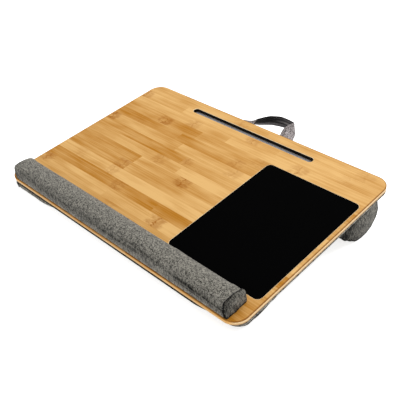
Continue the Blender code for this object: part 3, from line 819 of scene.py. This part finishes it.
def blown(roll, along, round_shares, most):
    """How far the cloth simulation moves the skin's points, none by more than the given distance."""
    grid = roll.skin(along, round_shares)
    rows, columns = grid.shape[:2]
    inset = CLOTH_INSET * outward(grid, roll.side) * np.sin(np.pi * round_shares)[None, :, None]
    thing = in_scene("cloth_form", mesh_from_grid("cloth_form", grid - inset))
    numbers = np.arange(rows * columns).reshape(rows, columns)
    rims = {*numbers[0], *numbers[-1], *numbers[:, 0], *numbers[:, -1]}
    thing.vertex_groups.new(name="held").add(sorted(int(number) for number in rims), 1.0, "REPLACE")
    cloth = thing.modifiers.new("cloth", "CLOTH")
    for name, value in CLOTH.items():
        setattr(cloth.settings, name, value)
    cloth.settings.effector_weights.gravity = 0
    cloth.collision_settings.use_collision = False
    cloth.point_cache.frame_start = 1
    cloth.point_cache.frame_end = CLOTH_FRAMES
    for number in range(1, CLOTH_FRAMES + 1):
        bpy.context.scene.frame_set(number)
    view = bpy.context.evaluated_depsgraph_get()
    places = np.empty(rows * columns * 3, np.float32)
    thing.evaluated_get(view).data.vertices.foreach_get("co", places)
    bpy.data.objects.remove(thing, do_unlink=True)
    bpy.context.scene.frame_set(1)
    moved = places.reshape(rows, columns, 3) - grid
    lengths = np.linalg.norm(moved, axis=2, keepdims=True)
    return moved * np.minimum(1, most / np.maximum(lengths, 1e-9))


def resampled(grid, rows, columns, new_rows, new_columns):
    """A grid of vectors read at other rows and columns, in straight lines between its own."""
    grid = np.apply_along_axis(lambda line: np.interp(new_rows, rows, line), 0, grid)
    return np.apply_along_axis(lambda line: np.interp(new_columns, columns, line), 1, grid)


def ripples(grid, scale, seed):
    """Smooth noise from -1 to 1 at each point of a grid, with its own scale along each axis."""
    offset = Vector((seed, 2.3 * seed, 5.1 * seed))
    flat = grid.reshape(-1, 3) * np.array(scale)
    values = [noise.noise(Vector(point) + offset) for point in flat]
    return np.array(values).reshape(grid.shape[:2])


# How the covers are sewn
SEAM_WELD = 0.00005
SEAM_STEP = 0.0006
COARSE_SEAM_STEP = 0.002
GROOVE_HALF_WIDTH = 0.0011
GROOVE_DEPTH = 0.0016
WELT_PLACE = 0.0032
WELT_HALF_WIDTH = 0.0018
WELT_HEIGHT = 0.0006
GATHER_REACH = 0.006
GATHER_LENGTH = 0.0038
WRINKLE_DEPTH = 0.0003
RIM_HOLD = 0.005
PANEL_FADE = 0.002

# Where shade is painted on the covers
RIM_SHADE_REACH = 0.0010
CONTACT_SHADE = 1.4
CONTACT_SHADE_REACH = 0.0014
FLOOR_SHADE_REACH = 0.045


def swollen(roll, along, round_shares, step, most, rim):
    """The skin's points, uneven as the cloth simulation leaves them, but about as thick as before."""
    grid = roll.skin(along, round_shares)
    coarse_along = roll.stations(2 * step, COARSE_SEAM_STEP)
    coarse_round = np.linspace(0, 1, len(round_shares) // 2 + 1)
    moved = resampled(blown(roll, coarse_along, coarse_round, most), coarse_along, coarse_round,
                      along, round_shares)
    normals = outward(grid, roll.side)
    swell = (moved * normals).sum(axis=2)
    return grid + moved - normals * (1.1 * swell.mean() * rim[None, :])[..., None]


def build_roll(name, roll, material, step, folds, seed, most, shade, uneven=0.0014, pucker=0.0005,
               fade=1.0, rim_shade_strength=0.5, painted_hollow=((0.0, 1.0), (0.0, 0.0))):
    """A roll's finished piece, and the lines of its two end seams.

    - step: between its points
    - folds: the depth of the creases, and the shares of the way round between which they lie
    - most: how far the simulation may move a point
    - shade: the painted shade on the end panels at the back, how much more at the front, the power by which
      that grows, and the painted shade near the floor
    - uneven, pucker: the heights of the lumps, and of the gathers at the end seams
    - fade: how much of an end seam's darkness is left beyond the crown
    - tucked: how strong the painted shade at the rims is
    - hollow: the painted shade at shares of the way round
    """
    along = roll.stations(step, SEAM_STEP)
    round_shares = np.linspace(0, 1, int(roll.girth / step) + 1)
    arc = roll.girth * round_shares
    from_rim = np.minimum(arc, arc[::-1])
    rim = held(from_rim / RIM_HOLD)
    grid = swollen(roll, along, round_shares, step, most, rim)
    normals = outward(grid, roll.side)
    off_seam = roll.off_seam(along)
    on_panel = held(off_seam / PANEL_FADE)[:, None]
    cloth = np.zeros_like(grid)
    cloth[..., 0] = along[:, None]
    cloth[..., 1] = arc[None, :]

    # Creases, the long wrinkle and lumps
    depth, low, high = folds
    middle, half = (low + high) / 2, (high - low) / 2
    where = held(1.6 * (1 - np.abs(round_shares - middle) / half))[None, :]
    where = where * held(0.55 + 2.2 * ripples(cloth, (9, 40, 1), seed + 5))
    crease = where * held(1.1 - 4.2 * np.abs(ripples(cloth, (11, 150, 1), seed))) * (1 - on_panel)
    wrinkle = roll.wrinkle(cloth, round_shares, seed)
    lift = uneven * ripples(grid, (13, 25, 25), seed + 7) - depth * crease - WRINKLE_DEPTH * wrinkle

    # Gathers, groove and welts at the end seams, and the valley
    gather = np.exp(-np.abs(off_seam) / GATHER_REACH) * held((roll.cap - off_seam) / GATHER_REACH)
    gather = gather * np.where(off_seam > 0, 1.7, 0.7) * np.where((along < 0) & (roll.sewn > 0), 0.25, 1.0)
    wave = np.sin(2 * np.pi * arc[None, :] / GATHER_LENGTH + 5 * ripples(grid, (30, 90, 90), seed + 3))
    lift = lift + pucker * gather[:, None] * wave
    groove = np.exp(-(off_seam / GROOVE_HALF_WIDTH) ** 2)
    welt = np.exp(-((np.abs(off_seam) - WELT_PLACE) / WELT_HALF_WIDTH) ** 2)
    sewing = (WELT_HEIGHT * welt - GROOVE_DEPTH * groove) * (off_seam < roll.cap / 2)
    around, half_width, dent = roll.valley
    lift = lift + sewing[:, None] - dent * np.exp(-((round_shares - around) / half_width) ** 2)[None, :]
    grid = grid + normals * (lift * rim[None, :])[..., None]

    # Darkness: the seams' lines, painted shadow in their grooves, and painted shade at the rims, where the
    # end panels meet their flat side, in the creases, between the gathers and at given shares of the way
    # round
    line = held(1.6 * groove)[:, None]
    line = line * (1 - (1 - fade) * held((round_shares - 0.45) / 0.2))[None, :]
    painted_rim_shade = rim_shade_strength * np.exp(-from_rim / RIM_SHADE_REACH)[None, :] * (1 - on_panel)
    painted_contact_shadow = CONTACT_SHADE * np.exp(-np.abs(grid[..., 2] - roll.place[2]) / CONTACT_SHADE_REACH) * on_panel
    painted_gather_shade = gather[:, None] * held(-wave)
    painted_hollow_shade = np.interp(round_shares, *painted_hollow)[None, :] * (1 + 0.5 * ripples(cloth, (22, 60, 1), seed + 9))
    painted_hollow_shade = (painted_hollow_shade + 0.06 * wrinkle) * (1 - on_panel)
    dark = line + painted_rim_shade + painted_contact_shadow + 0.4 * crease + 0.35 * painted_gather_shade + painted_hollow_shade
    # Painted shade on the end panels, growing towards the front, and near the floor
    back, front, power, below = shade
    forward = 1 - held((grid[..., 1] - roll.place[1]) / (2 * roll.cap))
    dark = dark + on_panel * (back + front * forward ** power)
    if roll.side < 0:
        dark = dark + below * held(1 - (grid[..., 2] - roll.floor) / FLOOR_SHADE_REACH) ** 1.5

    mesh = mesh_from_grid(name, grid)
    write(mesh, "cloth", cloth)
    # The 'seam' attribute carries the seams' dark lines and all this painted shade
    write(mesh, "seam", held(dark))
    turn_outwards(form_of(mesh), mesh, SEAM_WELD)
    lines = []
    for sign in (-1, 1):
        station = int(np.argmin(np.where(np.sign(along) == sign, np.abs(off_seam), 1.0)))
        lines.append([(Vector(grid[station, j] + SEAM_STITCH[2] * normals[station, j]),
                       Vector(normals[station, j])) for j in range(3, grid.shape[1] - 3)])
    return new_object(name, mesh, material), lines


# Sections of the three rolls, as shares of the width and the thickness, from the front rim to the back rim
REST_SHARES = (
    (0.005, 0.0), (0.0, 0.22), (0.005, 0.48), (0.05, 0.73), (0.14, 0.90), (0.28, 0.985), (0.43, 1.0),
    (0.59, 0.965), (0.74, 0.87), (0.87, 0.70), (0.965, 0.45), (1.0, 0.20), (0.975, 0.0))
REST_END_SHARES = (
    (0.0, 0.0), (-0.005, 0.3), (0.0, 0.60), (0.03, 0.83), (0.10, 0.94), (0.28, 0.985), (0.45, 0.98),
    (0.60, 0.955), (0.77, 0.88), (0.89, 0.70), (0.95, 0.42), (0.96, 0.15), (0.95, 0.0))
REAR_SHARES = (
    (0.0, 0.0), (0.075, 0.19), (0.22, 0.50), (0.36, 0.76), (0.51, 0.93), (0.66, 1.0), (0.80, 0.97),
    (0.91, 0.84), (0.985, 0.62), (1.0, 0.38), (0.985, 0.16), (0.965, 0.0))
FRONT_SHARES = (
    (0.0, 0.0), (0.01, 0.36), (0.06, 0.70), (0.19, 0.94), (0.40, 1.0), (0.62, 0.93), (0.82, 0.67),
    (0.94, 0.32), (1.0, 0.0))

# Painted shade on the wrist rest at shares of the way round: dark along its lower front
REST_PAINTED_SHADE = ((0.0, 0.03, 0.06, 0.12, 0.18, 0.21, 0.24, 0.27, 0.30, 0.36),
               (0.05, 0.16, 0.32, 0.46, 0.52, 0.50, 0.40, 0.26, 0.14, 0.0))


def build_wrist_rest(material):
    roll = Roll((REST_SHARES, REST_END_SHARES), (0.5175, 0.046, 0.030), 0.0045, ((0.99, 0.94), (0.97, 0.97)),
                (0.88, 0.88), (0.0018, 0.0015, CLEARANCE), 1, rounded=0.4, sewn=0.0085,
                valley=(0.17, 0.045, 0.0005))
    return build_roll("wrist_rest", roll, material, step=0.0017, folds=(0.0008, 0.04, 0.36), seed=3.0,
                      most=0.0005, shade=(0.25, 0.40, 1.0, 0.0), uneven=0.0004, pucker=0.0004, fade=0.35,
                      rim_shade_strength=0.05, painted_hollow=REST_PAINTED_SHADE)


def build_rear_cushion(material):
    place = (0, BOARD_DEPTH - REAR_CUSHION_FROM_BACK - REAR_CUSHION_WIDTH, CUSHION_TOP)
    roll = Roll((REAR_SHARES, REAR_SHARES), (CUSHION_LENGTH, REAR_CUSHION_WIDTH, 0.0588), 0.004,
                ((0.94, 0.92), (0.94, 0.92)), (0, 0), place, -1)
    return build_roll("rear_cushion", roll, material, step=0.0034, folds=(0.0016, 0.04, 0.96), seed=11.0,
                      most=0.0015, shade=(0.41, 0.92, 2.5, 0.10), pucker=0.0003)


def build_front_cushion(material):
    roll = Roll((FRONT_SHARES, FRONT_SHARES), (CUSHION_LENGTH, 0.106, 0.0138), 0.020,
                ((0.97, 0.92), (0.86, 0.75)), (0.62, 0.40), (0, 0.003, CUSHION_TOP), -1,
                bulge=(0.0085, -0.190, -0.125))
    return build_roll("front_cushion", roll, material, step=0.0034, folds=(0.0010, 0.04, 0.96), seed=19.0,
                      most=0.0008, shade=(0.17, 0.27, 1.0, 0.12))


# The strap's middle line from its left end to its right end: shares of the half span and of the reach, how
# far it stands above its sewn ends as a share of its width, then in degrees its twist and its lean
HANDLE_PATH = (
    (-1.0, 0.0, 0.0, 0, 0), (-0.97, 0.08, 0.04, 0, 0), (-0.91, 0.18, 0.12, 2, 0),
    (-0.85, 0.29, 0.18, 14, 4), (-0.74, 0.42, 0.11, 48, 12), (-0.60, 0.53, 0.07, 72, 20),
    (-0.41, 0.69, 0.09, 87, 22), (-0.24, 0.82, 0.11, 90, 18), (-0.09, 0.89, 0.11, 90, 15),
    (0.12, 0.97, 0.11, 90, 11), (0.31, 0.99, 0.11, 90, 11), (0.55, 0.97, 0.12, 90, 10),
    (0.81, 0.91, 0.13, 90, 8), (0.86, 0.78, 0.13, 78, 3), (0.88, 0.55, 0.15, 55, 0),
    (0.95, 0.28, 0.17, 12, 0), (0.99, 0.08, 0.05, 3, 0), (1.0, 0.0, 0.0, 0, 0))
HANDLE_LEAN = (-0.45, 0.9)
HANDLE_STATIONS = 240
TAB_STATIONS = 24


def strap_sections():
    """Middle point, width direction and face direction of the strap, from one tab's end to the other's."""
    table = smooth_curve(HANDLE_PATH, HANDLE_STATIONS)
    middles = [Vector((along * HANDLE_HALF_SPAN, reach * HANDLE_REACH, rise * HANDLE_WIDTH))
               for along, reach, rise, _, _ in table]
    up = Vector((0, 0, 1))
    aside = Vector((*HANDLE_LEAN, 0)).normalized()
    root = Vector((HANDLE_OFFSET, HANDLE_ROOT_Y, HANDLE_ROOT_Z))
    sections = []
    for i, (_, _, _, twist, lean) in enumerate(table):
        heading = (middles[min(i + 1, len(middles) - 1)] - middles[max(i - 1, 0)]).normalized()
        turn, tilt = radians(twist), radians(lean)
        lying = cos(turn) * Vector((copysign(1, middles[i].x), 0, 0))
        across = (lying + sin(turn) * (sin(tilt) * aside - cos(tilt) * up)).normalized()
        sections.append((root + middles[i], across, across.cross(heading).normalized()))
    tabs = []
    for side in (-1, 1):
        tabs.append([(root + Vector((side * HANDLE_HALF_SPAN, -back, 0)), Vector((side, 0, 0)), -up)
                     for back in np.linspace(TAB_LENGTH, 0.001, TAB_STATIONS)])
    return [*tabs[0], *sections, *reversed(tabs[1])]


def strap_outline():
    """The strap's section: shares of its half width and half thickness, ribbed inside, with welts outside."""
    half_count = 26
    wide = np.cos(np.linspace(0, np.pi, half_count))
    shape = (1 - np.abs(wide) ** 10) ** 0.5
    ribs = 0.12 * (np.cos(2 * np.pi * wide * 2.5) - 1) * shape
    welts = 0.14 * np.exp(-((np.abs(wide) - 0.86) / 0.06) ** 2)
    inner = [(w, s * 0.92 + r) for w, s, r in zip(wide, shape, ribs)]
    outer = [(w, -(s * 0.85 + e)) for w, s, e in zip(wide[::-1], shape[::-1], welts[::-1])]
    return inner[:-1] + outer[:-1]


def on_strap(section, wide, thick):
    """The place at shares of the strap's half width and half thickness."""
    middle, across, normal = section
    return middle + across * (wide * HANDLE_WIDTH / 2) + normal * (thick * HANDLE_THICKNESS / 2)


def build_strap(material):
    """The handle: one long strap, whose two ends run on flat under the base panel."""
    outline = strap_outline()
    sections = strap_sections()
    rings, cloth = [], []
    run = 0.0
    last = sections[0][0]
    for section in sections:
        run += (section[0] - last).length
        last = section[0]
        rings.append([on_strap(section, wide, thick) for wide, thick in outline])
        cloth += [(run, wide * HANDLE_WIDTH / 2, 0.0) for wide, _ in outline]
    inner = [held(0.5 + 3 * t) for _, t in outline] * len(sections)
    mesh = mesh_from_rings("handle", rings)
    write(mesh, "cloth", cloth)
    write(mesh, "inner", inner)
    return new_object("carrying_handle", mesh, material)


def stitch(start, end, out, radius):
    """The rings of one stitch: a short thread that rises out of the cloth and dives into it again."""
    line = end - start
    side = line.cross(out).normalized()
    rings = []
    for share, thick in ((0.0, 0.25), (0.08, 0.8), (0.3, 1.0), (0.7, 1.0), (0.92, 0.8), (1.0, 0.25)):
        rise = radius * (0.7 * sin(pi * share) - 0.3)
        middle = start + line * share + out * rise
        rings.append([middle + radius * thick * (cos(a) * side + sin(a) * out)
                      for a in (radians(60 * k) for k in range(6))])
    return rings


def sewn_rows(name, rows, material, size):
    """Stitches along rows. Each row is a list of places and the directions out of the cloth there."""
    length, gap, radius = size
    form = bmesh.new()
    for row in rows:
        runs = np.concatenate([[0], np.cumsum([(b[0] - a[0]).length for a, b in zip(row, row[1:])])])
        places, outs = np.array([[*place] for place, _ in row]), np.array([[*out] for _, out in row])

        def read(at, values):
            return Vector([np.interp(at, runs, values[:, axis]) for axis in range(3)])

        for k in range(int(runs[-1] / (length + gap))):
            begin = k * (length + gap) + gap / 2
            out = read(begin + length / 2, outs).normalized()
            skin_over(form, stitch(read(begin, places), read(begin + length, places), out, radius))
    bmesh.ops.recalc_face_normals(form, faces=form.faces)
    return new_object(name, keep(form, bpy.data.meshes.new(name)), material)


def build_strap_stitches(material):
    """Two rows of stitches along the strap on each face."""
    sections = strap_sections()[2:-2]
    rows = []
    for wide in (-0.72, 0.72):
        for face, depth in ((1, 0.80), (-1, 0.86)):
            rows.append([(on_strap(section, wide, face * depth), section[2] * face) for section in sections])
    return sewn_rows("handle_stitches", rows, material, STRAP_STITCH)


def build_room():
    """The floor, the lights and the camera of the photograph."""
    mesh = bpy.data.meshes.new("floor")
    corners = [(x * FLOOR_REACH, y * FLOOR_REACH, 0) for x, y in ((-1, -1), (1, -1), (1, 1), (-1, 1))]
    mesh.from_pydata(corners, [], [(0, 1, 2, 3)])
    mesh.materials.append(floor_material())
    floor = in_scene("floor", mesh)
    floor.location.z = -FLOOR_DROP

    scene = bpy.context.scene
    scene.world = bpy.data.worlds.new("studio")
    scene.world.use_nodes = True
    background = scene.world.node_tree.nodes["Background"]
    background.inputs["Color"].default_value = (1.0, 1.0, 1.0, 1.0)
    background.inputs["Strength"].default_value = ROOM_BRIGHTNESS
    light = bpy.data.lights.new("key", "AREA")
    light.size = LAMP_SIZE
    light.energy = LAMP_POWER
    lamp = in_scene("key", light)
    lamp.location = LAMP_PLACE
    lamp.rotation_euler = (-lamp.location).to_track_quat("-Z", "Y").to_euler()

    lens = bpy.data.cameras.new("camera")
    lens.lens = CAMERA_LENS
    lens.shift_x = -CAMERA_SHIFT
    lens.shift_y = CAMERA_SHIFT
    scene.camera = in_scene("camera", lens)
    scene.camera.location = CAMERA_PLACE
    scene.camera.rotation_euler = Euler((QUARTER_TURN - CAMERA_ELEVATION, 0, CAMERA_AZIMUTH))
    scene.view_settings.view_transform = "Standard"


def keep_node(name, material):
    """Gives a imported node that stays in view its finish."""
    node = frame["nodes"][name]
    node.data.materials.clear()
    node.data.materials.append(material)


def main():
    build_room()
    heather = heather_material()
    board = build_board(bamboo_material())
    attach(board, "desk")
    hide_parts("bamboo_board")

    panel = build_panel(heather)
    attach(panel, "desk")
    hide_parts("base_panel")

    keep_node("mouse_pad", pad_material())
    keep_node("wrist_rest_backing", hardboard_material())
    tape = tape_material()
    for side in ("front", "back", "left", "right"):
        keep_node("tape_" + side, tape)

    seams = []
    for build, cover, foam, fill in ((build_wrist_rest, "wrist_rest_cover", "wrist_rest_foam", 0.8),
                                     (build_rear_cushion, "rear_cushion_cover", "rear_cushion_foam", 0.75),
                                     (build_front_cushion, "front_cushion_cover", "front_cushion_foam", 0.6)):
        cushion, lines = build(heather)
        seams += lines
        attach(cushion, "desk")
        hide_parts(cover, foam)

    thread = thread_material()
    sewing = sewn_rows("cushion_seam_stitches", seams, thread, SEAM_STITCH)
    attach(sewing, "desk")

    strap = build_strap(strap_material())
    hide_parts("handle_strap", "handle_tab_left", "handle_tab_right")
    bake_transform(strap)
    stitches = build_strap_stitches(thread)
    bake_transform(stitches)


main()
